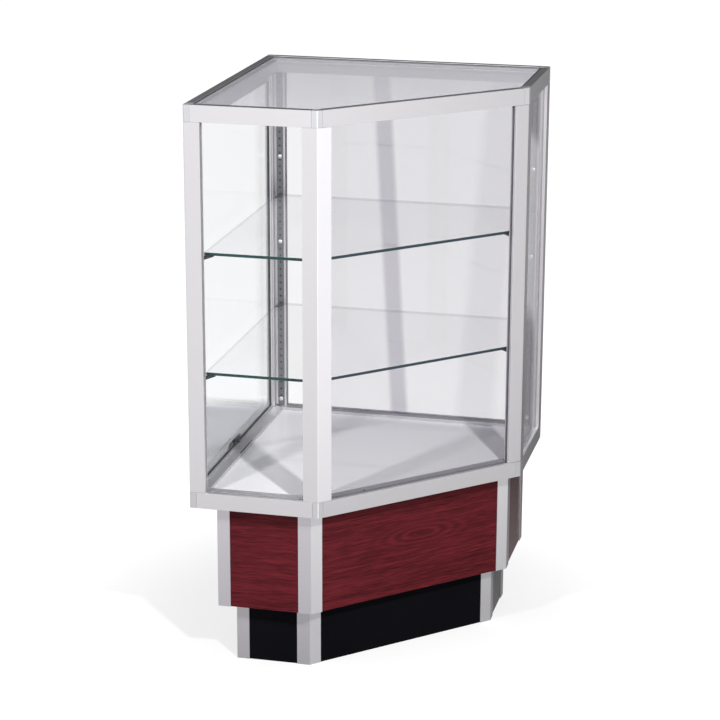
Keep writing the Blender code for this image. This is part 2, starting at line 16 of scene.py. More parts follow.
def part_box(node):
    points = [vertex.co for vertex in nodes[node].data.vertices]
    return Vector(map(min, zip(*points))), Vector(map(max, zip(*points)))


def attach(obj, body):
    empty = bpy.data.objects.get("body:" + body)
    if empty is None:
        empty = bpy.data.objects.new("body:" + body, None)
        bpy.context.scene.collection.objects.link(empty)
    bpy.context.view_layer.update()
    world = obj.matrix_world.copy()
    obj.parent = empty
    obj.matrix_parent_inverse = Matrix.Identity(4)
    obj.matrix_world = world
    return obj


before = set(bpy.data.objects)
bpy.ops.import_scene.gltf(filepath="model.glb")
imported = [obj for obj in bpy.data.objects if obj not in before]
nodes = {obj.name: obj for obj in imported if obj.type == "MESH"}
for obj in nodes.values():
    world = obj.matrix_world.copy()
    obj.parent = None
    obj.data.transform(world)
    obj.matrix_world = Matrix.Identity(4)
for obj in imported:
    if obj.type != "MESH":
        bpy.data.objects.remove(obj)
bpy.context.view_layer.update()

# %% [markdown]
# The camera stands a little to the left of the case's diagonal front and looks down on it. It is a long
# lens from four metres away, so upright lines stay nearly parallel.

# %% Camera
CAMERA_PLACE = (0.857, -3.704, 1.630)
CAMERA_YAW = math.radians(103.38)
CAMERA_PITCH = math.radians(16.72)
CAMERA_ROLL = math.radians(0.20)
LENS_MM = 115.54
SENSOR_MM = 36.0


def place_camera():
    """Looks along the unit vector with this yaw from +X and this pitch below the horizon, then rolls."""
    data = bpy.data.cameras.new("camera")
    data.lens = LENS_MM
    data.sensor_width = SENSOR_MM
    data.clip_end = 50
    camera = bpy.data.objects.new("camera", data)
    flat = math.cos(CAMERA_PITCH)
    ahead = Vector((flat * math.cos(CAMERA_YAW), flat * math.sin(CAMERA_YAW), -math.sin(CAMERA_PITCH)))
    turn = ahead.to_track_quat("-Z", "Y").to_matrix().to_4x4() @ Matrix.Rotation(CAMERA_ROLL, 4, "Z")
    camera.matrix_world = Matrix.Translation(CAMERA_PLACE) @ turn
    bpy.context.scene.collection.objects.link(camera)
    bpy.context.scene.camera = camera


place_camera()
print("camera at", CAMERA_PLACE)

# %% [markdown]
# Patterns on the surfaces are sums and products of a few noises. Writing them as arithmetic keeps them
# readable, so a small class wraps a shader socket and turns each operator into a Math node.


# %% Shader arithmetic
STRAIGHT_ON = 0.04


class Value:
    """A number that varies over a surface: the output socket of a node, with Python's operators."""

    def __init__(self, finish, socket):
        self.finish = finish
        self.socket = socket

    def math(self, operation, *others):
        return self.finish.node("ShaderNodeMath", [self, *others], operation=operation)

    def __add__(self, other):
        return self.math("ADD", other)

    def __sub__(self, other):
        return self.math("SUBTRACT", other)

    def __rsub__(self, other):
        return self.finish.node("ShaderNodeMath", [other, self], operation="SUBTRACT")

    def __mul__(self, other):
        return self.math("MULTIPLY", other)

    def __truediv__(self, other):
        return self.math("DIVIDE", other)

    __radd__ = __add__
    __rmul__ = __mul__

    def step(self, low, high):
        """0 below low, 1 above high and smooth between."""
        inputs = {"Value": self, "From Min": low, "From Max": high}
        return self.finish.node("ShaderNodeMapRange", inputs, interpolation_type="SMOOTHSTEP")


class Finish:
    """One material: its node tree, the Principled shader and short ways to add nodes."""

    def __init__(self, name, base, roughness, metallic=0.0, **plain):
        self.material = bpy.data.materials.new(name)
        self.material.use_nodes = True
        self.tree = self.material.node_tree
        self.shader = self.tree.nodes["Principled BSDF"]
        self.shader.inputs["Base Color"].default_value = (*base, 1)
        self.shader.inputs["Roughness"].default_value = roughness
        self.shader.inputs["Metallic"].default_value = metallic
        for socket, number in plain.items():
            self.shader.inputs[socket.replace("_", " ")].default_value = number

    def node(self, kind, inputs=(), output=0, **settings):
        """Any node: its settings first, then its sockets by order or by name, as numbers or links."""
        made = self.tree.nodes.new(kind)
        for setting, value in settings.items():
            setattr(made, setting, value)
        pairs = inputs.items() if isinstance(inputs, dict) else enumerate(inputs)
        for key, value in pairs:
            if isinstance(value, Value):
                self.tree.links.new(value.socket, made.inputs[key])
            else:
                made.inputs[key].default_value = value
        return Value(self, made.outputs[output])

    def place(self, scale=(1, 1, 1)):
        """Object coordinates in metres, stretched by a scale on each axis."""
        coordinates = self.node("ShaderNodeTexCoord", output="Object")
        return self.node("ShaderNodeMapping", {"Vector": coordinates, "Scale": scale})

    def noise(self, scale=(1, 1, 1), size=1.0, detail=2.0, rough=0.5, where=None):
        """Clouds at the surface point, or at another point that the material works out."""
        where = where or self.place(scale)
        return self.node(
            "ShaderNodeTexNoise", {"Vector": where, "Scale": size, "Detail": detail, "Roughness": rough}
        )

    def reflection(self, share):
        """The part of the light that glass mirrors: little from straight on, most along the surface."""
        slant = self.node("ShaderNodeLayerWeight", {"Blend": 0.5}, output="Facing")
        return slant.math("POWER", 5.0) * ((1 - STRAIGHT_ON) * share) + STRAIGHT_ON * share

    def axes(self):
        """The surface point's x, y and z in metres."""
        split = self.node("ShaderNodeSeparateXYZ", {"Vector": self.place()})
        outputs = split.socket.node.outputs
        return [Value(self, outputs[axis]) for axis in range(3)]

    def facing(self, axis):
        """How far the surface turns towards an axis, from 0 to 1."""
        normal = self.node("ShaderNodeTexCoord", output="Normal")
        split = self.node("ShaderNodeSeparateXYZ", {"Vector": normal})
        return Value(self, split.socket.node.outputs[axis]).math("ABSOLUTE")

    def towards(self, direction):
        """The cosine between the surface's normal and a direction."""
        normal = self.node("ShaderNodeTexCoord", output="Normal")
        return self.node("ShaderNodeVectorMath", [normal, direction], output="Value", operation="DOT_PRODUCT")

    def blend(self, amount, first, second):
        """A colour between two colours."""
        colours = [colour if isinstance(colour, Value) else (*colour, 1) for colour in (first, second)]
        inputs = {0: amount, 6: colours[0], 7: colours[1]}
        return self.node("ShaderNodeMix", inputs, output=2, data_type="RGBA")

    def set(self, socket, value):
        """Drives one socket of the shader."""
        self.tree.links.new(value.socket, self.shader.inputs[socket])

    def bump(self, height, distance, strength):
        """Lights the surface as if it rose by this height times a distance in metres."""
        relief = self.node("ShaderNodeBump", {"Strength": strength, "Distance": distance, "Height": height})
        self.set("Normal", relief)


# %% [markdown]
# The rails and posts are drawn aluminium with a satin anodised finish. Drawing leaves faint lines along
# each bar, and anodising spreads the reflection. Fine noise stretched along the bar gives those lines.
# Faces that look a certain way get painted light or shade by the way they face: the crown of the top rails
# has painted shade, the ledges of the bottom rails painted light, the post at the case's nose a painted
# highlight line, and its right face and those of the trims painted light.

# %% Aluminium
RAIL_COLOUR = (0.765, 0.75, 0.77)
RAIL_SHADE = (0.705, 0.69, 0.71)
TRIM_COLOUR = (0.73, 0.705, 0.745)
TRIM_SHADE = (0.66, 0.635, 0.675)
SATIN_METAL = 0.85
SATIN_ROUGHNESS = 0.42
TRIM_ROUGHNESS = 0.40
LINE_GLOSS = 0.10
PAINTED_LIGHT_SOFTNESS = 0.7
UP = (0, 0, 1)
NOSE_WAY = (0.383, -0.924, 0)
SPLAY_WAY = (0.7071, -0.7071, 0)
# Painted light and shade by the way a face turns: a dark crown on the top rails, light ledges on the bottom
# rails, a highlight line on the nose post and light right faces.
PAINTED_CROWN_SHADE = (0.31, 0.30, 0.32)
CROWN_PAINTED_SHADE = (UP, 0.7, PAINTED_CROWN_SHADE)
LEDGE_PAINTED_LIGHT = (UP, 0.7, (0.95, 0.95, 0.97))
NOSE_PAINTED_HIGHLIGHT = (NOSE_WAY, 0.985, (1, 1, 1))
SIDE_PAINTED_LIGHT = (SPLAY_WAY, 0.99, (0.95, 0.935, 0.965))
UPRIGHT = (900, 900, 9)
LEVEL = (9, 9, 900)


def brushed(name, light, shade, stretch, roughness, painted_lights=()):
    """Anodised metal with lines along one way: noise that is stretched there. Each painted light is a
    direction, the cosine from which a face counts as turned that way, and the colour painted on such faces as
    light or shade."""
    finish = Finish(name, light, roughness, SATIN_METAL)
    lines = finish.noise(scale=stretch, size=1.0, detail=3.0, rough=0.6)
    cloud = finish.noise(size=14.0, detail=2.0)
    colour = finish.blend(lines * 0.6 + cloud * 0.4, light, shade)
    # Paints light or shade over the faces turned each given way.
    for direction, start, painted_colour in painted_lights:
        turned = finish.towards(direction).step(start, start + (1 - start) * PAINTED_LIGHT_SOFTNESS)
        colour = finish.blend(turned, colour, painted_colour)
    finish.set("Base Color", colour)
    finish.set("Roughness", lines * LINE_GLOSS + (roughness - LINE_GLOSS / 2))
    finish.bump(lines, 0.00002, 0.5)
    return finish.material


def rail_stock(name, stretch, painted_lights=()):
    """The aluminium that the rails and posts share."""
    return brushed(name, RAIL_COLOUR, RAIL_SHADE, stretch, SATIN_ROUGHNESS, painted_lights)


post_metal = rail_stock("post_aluminium", UPRIGHT)
nose_metal = rail_stock("nose_aluminium", UPRIGHT, (NOSE_PAINTED_HIGHLIGHT, SIDE_PAINTED_LIGHT))
rail_metal = rail_stock("rail_aluminium", LEVEL, (LEDGE_PAINTED_LIGHT,))
top_rail_metal = rail_stock("top_rail_aluminium", LEVEL, (CROWN_PAINTED_SHADE,))
trim_metal = brushed("trim_aluminium", TRIM_COLOUR, TRIM_SHADE, UPRIGHT, TRIM_ROUGHNESS, (SIDE_PAINTED_LIGHT,))
print("metals for the posts, the nose post, the rails, the top rails and the trims")

# %% [markdown]
# The corner blocks are cast and painted to match. Paint on a casting has no drawn lines: it has a fine
# pebbled skin, a little darker than the rails.

# %% Corner blocks
CAST_COLOUR = (0.50, 0.50, 0.52)
CAST_LIGHT = (0.54, 0.54, 0.56)
CAST_SHADE = (0.48, 0.48, 0.50)
CAST_PAINTED_HIGHLIGHT = (1, 1, 1)
PAINTED_CROWN_SHADE_TURN = (0.7, 0.95)
NOSE_PAINTED_HIGHLIGHT_TURN = (0.985, 0.995)


def cast_paint():
    """Paint on the corner blocks, with painted shade on the crown on top and a painted highlight line at the
    nose.
    """
    finish = Finish("corner_paint", CAST_COLOUR, 0.5, 0.5)
    pebble = finish.noise(size=1800.0, detail=2.0)
    cloud = finish.noise(size=30.0)
    colour = finish.blend(cloud, CAST_LIGHT, CAST_SHADE)
    # Painted shade on the top faces and a painted highlight line along the nose.
    colour = finish.blend(finish.towards(UP).step(*PAINTED_CROWN_SHADE_TURN), colour, PAINTED_CROWN_SHADE)
    colour = finish.blend(finish.towards(NOSE_WAY).step(*NOSE_PAINTED_HIGHLIGHT_TURN), colour, CAST_PAINTED_HIGHLIGHT)
    finish.set("Base Color", colour)
    finish.set("Roughness", pebble * 0.15 + 0.42)
    finish.bump(pebble, 0.00003, 0.6)
    return finish.material


corner_metal = cast_paint()
print("paint for the corner blocks")

# %% [markdown]
# Flat glass is seen mostly through: it dims what is behind it a little and mirrors the room, most of all
# where it is looked at along its face. Its cut edges are different: light that enters them travels far
# inside the sheet, so they look dark green. The direction of the face tells the two apart. The shelves'
# edges along the two back panels are faint, where the front ones are dark.
# The back panel carries two soft upright streaks of painted reflection, and the door's glass a painted
# reflection of the dark floor over its lower part.

# %% Glass
GLASS_ROUGHNESS = 0.02
EDGE_ROUGHNESS = 0.12
EDGE_ENDS = (0.5, 0.69)
SMEAR = 0.012
SHELF_LEFT = -0.232
SHELF_BACK = 0.226
BACK_EDGE_ZONE = (0.0008, 0.0016)
FLOOR_REFLECTION_SLOPE = 0.31
FLOOR_REFLECTION_FADES = (0.378, 0.402)
REFLECTION_BAND_CORE = 0.55
REFLECTION_BAND_RIM = 1.3
PANE_MIRROR = (0.25, 0.22, 0.31)
CLEAR_MIRROR = (0.90, 0.92, 0.93)
DIM_MIRROR = (0.52, 0.55, 0.62)
END_MIRROR = (0.50, 0.48, 0.52)
TOP_MIRROR = (0.62, 0.62, 0.67)
EDGE_TINT = (0.10, 0.20, 0.19)
SHELF_EDGE = (0.003, 0.036, 0.034)
BACK_PAINTED_REFLECTIONS = ((0.0104, -0.059, 0.016, 0.20), (0.1064, 0.079, 0.036, 0.06))
STANDING = (0, 1)
LYING = (2,)


def sheet_glass(
    name,
    flat_axes,
    mirror,
    film=0.0,
    opacity=0.0,
    share=1.0,
    edge_colour=EDGE_TINT,
    edge_opacity=0.1,
    back_opacity=None,
    painted_floor_reflection=0.0,
    painted_reflection_bands=(),
):
    """Thin clear glass: see-through faces, and tinted edges on faces that look along no flat axis. The film
    is how much of what it shows of itself is dull like dust, where the rest is mirror. The share is how much
    it mirrors, where 1 is all that plain glass does. A shelf's two back edges can have an opacity of their
    own. The painted floor reflection is what the sheet's lower part adds to its opacity, as a painted
    reflection of the dark floor behind. Each painted reflection band is a soft upright streak of painted
    reflection: where it stands at the floor, how far it leans per metre of height, half its width, and the
    opacity it adds."""
    finish = Finish(name, mirror, GLASS_ROUGHNESS, 1.0, Specular_IOR_Level=0.1)
    face = None
    for axis in flat_axes:
        turned = finish.facing(axis)
        face = turned if face is None else face.math("MAXIMUM", turned)
    edge = 1 - face.step(*EDGE_ENDS)
    x, y, z = finish.axes()
    if back_opacity is not None:
        left = 1 - (x - SHELF_LEFT).step(*BACK_EDGE_ZONE)
        behind = 1 - (SHELF_BACK - y).step(*BACK_EDGE_ZONE)
        edge_opacity = left.math("MAXIMUM", behind) * (back_opacity - edge_opacity) + edge_opacity
    smear = finish.noise(size=6.0, detail=3.0)
    clear = finish.reflection(share) + (smear * SMEAR + opacity)
    # Painted reflection of the dark floor: the sheet mirrors more towards its lower part.
    if painted_floor_reflection:
        clear = clear + (1 - (z + y * FLOOR_REFLECTION_SLOPE).step(*FLOOR_REFLECTION_FADES)) * painted_floor_reflection
    # Painted reflections: soft upright streaks where the sheet mirrors more.
    for foot, lean, half, amount in painted_reflection_bands:
        away = (x - z * lean - foot).math("ABSOLUTE")
        clear = clear + (1 - away.step(half * REFLECTION_BAND_CORE, half * REFLECTION_BAND_RIM)) * amount
    finish.set("Alpha", edge * edge_opacity + (1 - edge) * clear)
    finish.set("Base Color", finish.blend(edge, mirror, edge_colour))
    finish.set("Metallic", (1 - edge) * (1 - film))
    finish.set("Roughness", edge * EDGE_ROUGHNESS + GLASS_ROUGHNESS)
    return finish.material


pane_glass = sheet_glass("pane_glass", STANDING, PANE_MIRROR, opacity=0.07)
back_pane = sheet_glass("back_pane_glass", STANDING, PANE_MIRROR, opacity=0.05, painted_reflection_bands=BACK_PAINTED_REFLECTIONS)
side_glass = sheet_glass("side_pane_glass", STANDING, CLEAR_MIRROR, share=0.40)
door_pane = sheet_glass("door_pane_glass", STANDING, DIM_MIRROR, share=0.6, painted_floor_reflection=0.40)
end_pane = sheet_glass("end_pane_glass", STANDING, END_MIRROR, film=0.80, opacity=0.02)
top_glass = sheet_glass(
    "top_pane_glass", LYING, TOP_MIRROR, film=0.8, opacity=0.20, share=0.6, edge_opacity=0.05
)
shelf_glass = sheet_glass(
    "shelf_glass",
    LYING,
    CLEAR_MIRROR,
    film=0.5,
    share=0.24,
    edge_colour=SHELF_EDGE,
    edge_opacity=1.0,
    back_opacity=0.18,
)
print("glass for the front, back, left, door, right, top and shelves")

# %% [markdown]
# The base is faced with mahogany laminate. Its grain runs level round the case: long streaks that wander
# up and down a little, and on the wide front a knot with a cathedral figure round it, where the veneer
# was cut across the growth rings. The rings are nested long ovals: their pattern is the distance from the
# knot with the level way squeezed, bent by noise and turned into bands by a sine. Each layer of streaks is
# given by how many lie in a metre along and across the grain, the detail and roughness of its noise, and
# the two noise values between which it goes from dark to light.

# %% Mahogany laminate
KNOT_ALONG = 0.020
KNOT_HEIGHT = 0.207
KNOT_SQUEEZE = 0.06
KNOT_ENDS = (0.008, 0.034)
HEART_ENDS = (0.0015, 0.004)
KNOT_SHARE = 0.6
RINGS_PER_METRE = 150.0
WANDER = 0.008
RIPPLE = 0.0022
BROAD = (3, 110, 3.0, 0.5, 0.28, 0.72)
MEDIUM = (13, 400, 3.0, 0.65, 0.34, 0.68)
FINE = (40, 1500, 2.0, 0.5, 0.30, 0.70)
DASHES = (30, 700, 2.0, 0.6, 0.56, 0.66)
BROAD_SHARE = 0.24
MEDIUM_SHARE = 0.40
FINE_SHARE = 0.36
DASH_DEPTH = 0.32
RING_DEPTH = 0.55
RING_DARKEST = 0.25
WOOD_COLOUR = (0.09, 0.013, 0.017)
WOOD_DARK = (0.022, 0.0030, 0.0045)
WOOD_LIGHT = (0.158, 0.0165, 0.0235)
SIDE_FACES = (0.8, 0.95)


def mahogany():
    """Three layers of streaks and a few dark dashes, with the knot's rings laid over them on the front."""
    finish = Finish("mahogany_laminate", WOOD_COLOUR, 0.36, Specular_IOR_Level=0.07)
    x, y, z = finish.axes()
    wander = finish.noise(scale=(9, 9, 22), size=1.0, detail=3.0) - 0.5
    ripple = finish.noise(scale=(60, 60, 90), size=1.0, detail=2.0) - 0.5
    level = z + wander * WANDER + ripple * RIPPLE

    def streaks(along, across, detail, rough, dark, light):
        where = finish.node("ShaderNodeCombineXYZ", [x * along, y * along, level * across])
        return finish.noise(where=where, detail=detail, rough=rough).step(dark, light)

    along = (x + y) / math.sqrt(2) - KNOT_ALONG
    rise = level - KNOT_HEIGHT
    oval = (along * along * KNOT_SQUEEZE + rise * rise).math("SQRT")
    rings = (oval * (RINGS_PER_METRE * math.tau)).math("SINE") * 0.5 + 0.5
    near = 1 - oval.step(*KNOT_ENDS)
    heart = 1 - oval.step(*HEART_ENDS)
    broad = streaks(*BROAD)
    medium = streaks(*MEDIUM)
    fine = streaks(*FINE)
    dashes = streaks(*DASHES)
    grain = broad * BROAD_SHARE + medium * MEDIUM_SHARE + fine * FINE_SHARE
    grain = grain * (1 - dashes * DASH_DEPTH)
    figure = rings * RING_DEPTH + RING_DARKEST
    light = grain * (1 - near * KNOT_SHARE) + figure * near * KNOT_SHARE
    light = light * (1 - heart * KNOT_SHARE)
    finish.set("Base Color", finish.blend(light, WOOD_DARK, WOOD_LIGHT))
    finish.set("Roughness", 0.42 - light * 0.10)
    finish.set("Coat Weight", finish.facing(0).step(*SIDE_FACES))
    finish.bump(fine * 0.5 + medium * 0.5, 0.00004, 0.5)
    return finish.material


wood = mahogany()
print("wood with", RINGS_PER_METRE, "rings in a metre round its knot")

# %% [markdown]
# The kick is faced with black laminate, smooth with a faint orange-peel skin, and the deck with a white
# one that mirrors a little.


# %% Laminates
def laminate(name, colour, shade, roughness, ripple, gloss, glossy_sides=False):
    """A smooth plastic face. The faces that look to either side can have a clear gloss."""
    finish = Finish(name, colour, roughness, Specular_IOR_Level=gloss)
    cloud = finish.noise(size=9.0, detail=3.0)
    skin = finish.noise(size=900.0, detail=1.0)
    finish.set("Base Color", finish.blend(cloud, colour, shade))
    finish.set("Roughness", cloud * 0.08 + (roughness - 0.04))
    finish.bump(skin, ripple, 0.5)
    if glossy_sides:
        finish.set("Coat Weight", finish.facing(0).step(*SIDE_FACES))
    return finish.material


KICK_COLOUR = (0.003, 0.003, 0.004)
KICK_SHADE = (0.006, 0.006, 0.008)
DECK_COLOUR = (0.89, 0.89, 0.915)
DECK_SHADE = (0.86, 0.86, 0.885)
kick_black = laminate("kick_laminate", KICK_COLOUR, KICK_SHADE, 0.30, 0.00003, 0.02, glossy_sides=True)
deck_white = laminate("deck_laminate", DECK_COLOUR, DECK_SHADE, 0.22, 0.00001, 0.5)
print("laminates for the kick and the deck")

# %% [markdown]
# The small hardware: zinc-plated steel for the shelf standards, black plated clips, a black rubber seal
# along the door's edges, dark metal for its lock, bright screws, and near-black painted shade for the inside
# of a channel.


# %% Small hardware finishes
def speckled(name, colour, shade, roughness, metallic, size, relief):
    """Plated or moulded stock: fine speckle in colour, gloss and relief."""
    finish = Finish(name, colour, roughness, metallic)
    speckle = finish.noise(size=size, detail=3.0)
    finish.set("Base Color", finish.blend(speckle, colour, shade))
    finish.set("Roughness", speckle * 0.16 + (roughness - 0.08))
    finish.bump(speckle, relief, 0.6)
    return finish.material


zinc = speckled("zinc_plate", (0.22, 0.23, 0.24), (0.13, 0.135, 0.14), 0.34, 0.8, 500.0, 0.00002)
clip_black = speckled("clip_black", (0.012, 0.012, 0.013), (0.03, 0.03, 0.032), 0.42, 0.3, 700.0, 0.00002)
rubber = speckled("seal_rubber", (0.004, 0.004, 0.005), (0.008, 0.008, 0.009), 0.7, 0.0, 1200.0, 0.00003)
lock_metal = speckled("lock_metal", (0.05, 0.05, 0.055), (0.035, 0.035, 0.04), 0.38, 0.7, 900.0, 0.00002)
bright_zinc = speckled("screw_zinc", (0.80, 0.80, 0.80), (0.68, 0.68, 0.68), 0.30, 0.7, 900.0, 0.00001)
painted_channel_shade = speckled("channel_shadow", (0.004,) * 3, (0.008,) * 3, 0.8, 0.0, 600.0, 0.00001)
print("finishes for the standards, clips, seals, lock, screws and channels")

# %% [markdown]
# Each solid takes its finish from its name.

# %% Dress the solids
FINISHES = (
    ("top_rail_", top_rail_metal),
    ("bottom_rail_", rail_metal),
    ("top_corner_", corner_metal),
    ("bottom_corner_", corner_metal),
    ("post_front_left", nose_metal),
    ("post_", post_metal),
    ("base_trim_", trim_metal),
    ("kick_trim_", trim_metal),
    ("door_hinge_clamp", rail_metal),
    ("glass_left", side_glass),
    ("glass_right", end_pane),
    ("glass_back_right", back_pane),
    ("glass_", pane_glass),
    ("door_glass", door_pane),
    ("top_glass", top_glass),
    ("upper_shelf", shelf_glass),
    ("lower_shelf", shelf_glass),
    ("upper_clip_", clip_black),
    ("lower_clip_", clip_black),
    ("standard_", zinc),
    ("door_edge_seal", rubber),
    ("lock_", lock_metal),
    ("base_carcass", wood),
    ("kick_plinth", kick_black),
    ("deck_panel", deck_white),
)


def dress():
    """Gives each solid the first finish whose start of a name fits its own."""
    for name, piece in nodes.items():
        for start, material in FINISHES:
            if name.startswith(start):
                piece.data.materials.clear()
                piece.data.materials.append(material)
                break


dress()
print("dressed", len(nodes), "solids")

# %% [markdown]
# Small fixings show from close by and through the glass. Each is a grid of points worked out from its
# measurements, whose rows are joined into a closed skin.


# %% Skins
def skin(name, rows, material, body, slot="black_rubber"):
    """Joins rows of points into a closed round skin that rides on a body of the case. A row whose points
    coincide becomes one point."""
    count = len(rows[0])
    points = [tuple(point) for row in rows for point in row]
    faces = []
    for row in range(len(rows) - 1):
        for column in range(count):
            after = (column + 1) % count
            first, second = row * count, (row + 1) * count
            faces.append((first + column, first + after, second + after, second + column))
    mesh = bpy.data.meshes.new(name)
    mesh.from_pydata(points, [], faces)
    solid = bmesh.new()
    solid.from_mesh(mesh)
    bmesh.ops.remove_doubles(solid, verts=solid.verts, dist=1e-6)
    bmesh.ops.recalc_face_normals(solid, faces=solid.faces)
    solid.to_mesh(mesh)
    solid.free()
    mesh.materials.append(material)
    made = bpy.data.objects.new(name, mesh)
    bpy.context.scene.collection.objects.link(made)
    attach(made, body)


SCREW_SIDES = 48
SCREW_RINGS = 16
SCREW_SUNK = 0.0002
SCREW_RADIUS = 0.0036
SCREW_DOME = 0.0016
SCREW_FALL = 0.75
CROSS_HALF_WIDTH = 0.0005
CROSS_REACH = 0.0021
CROSS_DEPTH = 0.0009


def screw(name, centre, outward, material, body):
    """A pan head with a cross recess. Its height falls with the square of the distance from the middle,
    less the recess depth wherever a point lies within half the slot's width of either level axis."""
    centre, outward = np.array(centre), np.array(outward, float)
    side = np.cross((0, 0, 1), outward)
    angles = np.linspace(0, math.tau, SCREW_SIDES, endpoint=False)
    rows = [[centre - outward * SCREW_SUNK] * SCREW_SIDES]
    for radius in np.linspace(SCREW_RADIUS, 0, SCREW_RINGS):
        across, up = radius * np.cos(angles), radius * np.sin(angles)
        height = SCREW_DOME * (1 - (radius / SCREW_RADIUS) ** 2 * SCREW_FALL)
        slot = (np.minimum(abs(across), abs(up)) < CROSS_HALF_WIDTH) & (radius < CROSS_REACH)
        height = height - CROSS_DEPTH * slot
        flat = [centre + side * a + np.array((0, 0, u)) for a, u in zip(across, up)]
        if radius == SCREW_RADIUS:
            rows.append(flat)
        rows.append([point + outward * h for point, h in zip(flat, height)])
    rows.append([rows[-1][0]] * SCREW_SIDES)
    skin(name, rows, material, body, "zinc_steel")


ROUND_STEPS = 3


def strip(name, low, high, edge, material, body):
    """A flat bar along its longest side. A quarter circle of radius edge rounds its four long edges."""
    low, high = np.array(low, float), np.array(high, float)
    axis = int(np.argmax(high - low))
    first, second = [other for other in range(3) if other != axis]
    ring = []
    for quarter, (sign_a, sign_b) in enumerate(((1, 1), (-1, 1), (-1, -1), (1, -1))):
        for step in range(ROUND_STEPS + 1):
            turn = math.pi / 2 * (quarter + step / ROUND_STEPS)
            corner_a = (high[first] - edge) if sign_a > 0 else (low[first] + edge)
            corner_b = (high[second] - edge) if sign_b > 0 else (low[second] + edge)
            ring.append((corner_a + edge * math.cos(turn), corner_b + edge * math.sin(turn)))
    middle = (low + high) / 2
    rows = []
    for end, hub in ((low[axis], True), (low[axis], False), (high[axis], False), (high[axis], True)):
        row = []
        for a, b in ring:
            point = np.zeros(3)
            point[axis] = end
            point[first], point[second] = (middle[first], middle[second]) if hub else (a, b)
            row.append(point)
        rows.append(row)
    skin(name, rows, material, body, "dark_metal")


SAME_LEVEL = 0.0001
SAME_CORNER = 0.001


def outline_of(name):
    """The corners of a flat sheet's outline in turn, and its top: the sheet is convex, so its corners lie in
    order of their angle round their own centre. Points close together count as one."""
    points = [vertex.co for vertex in nodes[name].data.vertices]
    top = max(point.z for point in points)
    corners = []
    for point in points:
        spot = np.array(point[:2])
        new = all(np.linalg.norm(spot - other) > SAME_CORNER for other in corners)
        if new and top - point.z < SAME_LEVEL:
            corners.append(spot)
    centre = sum(corners) / len(corners)
    corners.sort(key=lambda corner: math.atan2(*(corner - centre)))
    return corners, top


SEAL_INSIDE = 0.0006
SEAL_OUTSIDE = 0.0014
SEAL_RISE = 0.0004
SEAL_DEPTH = 0.002
SEAL_GAP = 0.0003
SEAL_PROFILE = (
    (-SEAL_INSIDE, 0.0),
    (-SEAL_INSIDE, SEAL_RISE),
    (SEAL_OUTSIDE, SEAL_RISE),
    (SEAL_OUTSIDE, -SEAL_DEPTH),
    (SEAL_GAP, -SEAL_DEPTH),
    (SEAL_GAP, 0.0),
)


def glazing_seal(name, sheet, material, body):
    """A flat rubber cord round a sheet's rim. Each corner's cross-section lies in the corner's mitre plane:
    its points go outwards from the rim along the sum of the two edge normals, and up from the sheet's top."""
    corners, top = outline_of(sheet)
    centre = sum(corners) / len(corners)
    rows = []
    for before, point, after in zip(corners[-1:] + corners[:-1], corners, corners[1:] + corners[:1]):
        normals = []
        for start, end in ((before, point), (point, after)):
            along = (end - start) / np.linalg.norm(end - start)
            normal = np.array((along[1], -along[0]))
            normals.append(normal if normal @ (point - centre) > 0 else -normal)
        mitre = (normals[0] + normals[1]) / (1 + normals[0] @ normals[1])
        rows.append([(*(point + mitre * way), top + up) for way, up in SEAL_PROFILE])
    rows.append(rows[0])
    skin(name, rows, material, body)


# %% [markdown]
# The shelf standards are channels, so their holes look into the dark: a thin black strip of painted shade
# lies behind each one. Screws hold the standards to the posts. A small dark steel strip lies behind the lock
# on the bottom rail as painted shadow along its inner edge, a black plug sits on the front rail's inner
# ledge, and a rubber seal runs round the top glass.

# %% Fixings
CHANNEL_INSET = 0.002
CHANNEL_FRONT = 0.00005
CHANNEL_BACK = 0.00025
CHANNEL_EDGE = 0.00005
STANDARD_SCREWS = (0.7842, 0.6270, 0.3270)
TOWARDS_FRONT = (0, -1, 0)
SHADOW_STRIP_FROM = -0.044
SHADOW_STRIP_TO = 0.030
SHADOW_STRIP_WIDTH = 0.0022
SHADOW_STRIP_GAP = 0.0004
SHADOW_STRIP_BELOW = 0.0008
SHADOW_STRIP_ABOVE = 0.0005
SHADOW_STRIP_EDGE = 0.0003
PLUG_PLACE = (0.0256, -0.1760)
PLUG_SIDES = 24
PLUG_PROFILE = ((0, -0.0005), (0.0013, -0.0005), (0.0013, 0.0004), (0.0009, 0.0007), (0, 0.0008))

for corner in ("back", "right"):
    low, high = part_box("standard_" + corner)
    across = (low[0] + high[0]) / 2
    strip_low = (low[0] + CHANNEL_INSET, high[1] + CHANNEL_FRONT, low[2] + CHANNEL_INSET)
    strip_high = (high[0] - CHANNEL_INSET, high[1] + CHANNEL_BACK, high[2] - CHANNEL_INSET)
    # Painted shade: a black strip behind the holes stands in for the dark inside of the channel.
    strip("standard_channel_shade_" + corner, strip_low, strip_high, CHANNEL_EDGE, painted_channel_shade, "case")
    for number, height in enumerate(STANDARD_SCREWS):
        place = (across, low[1], height)
        screw("standard_screw_" + corner + "_" + str(number), place, TOWARDS_FRONT, bright_zinc, "case")

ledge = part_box("bottom_rail_left")[1][2]
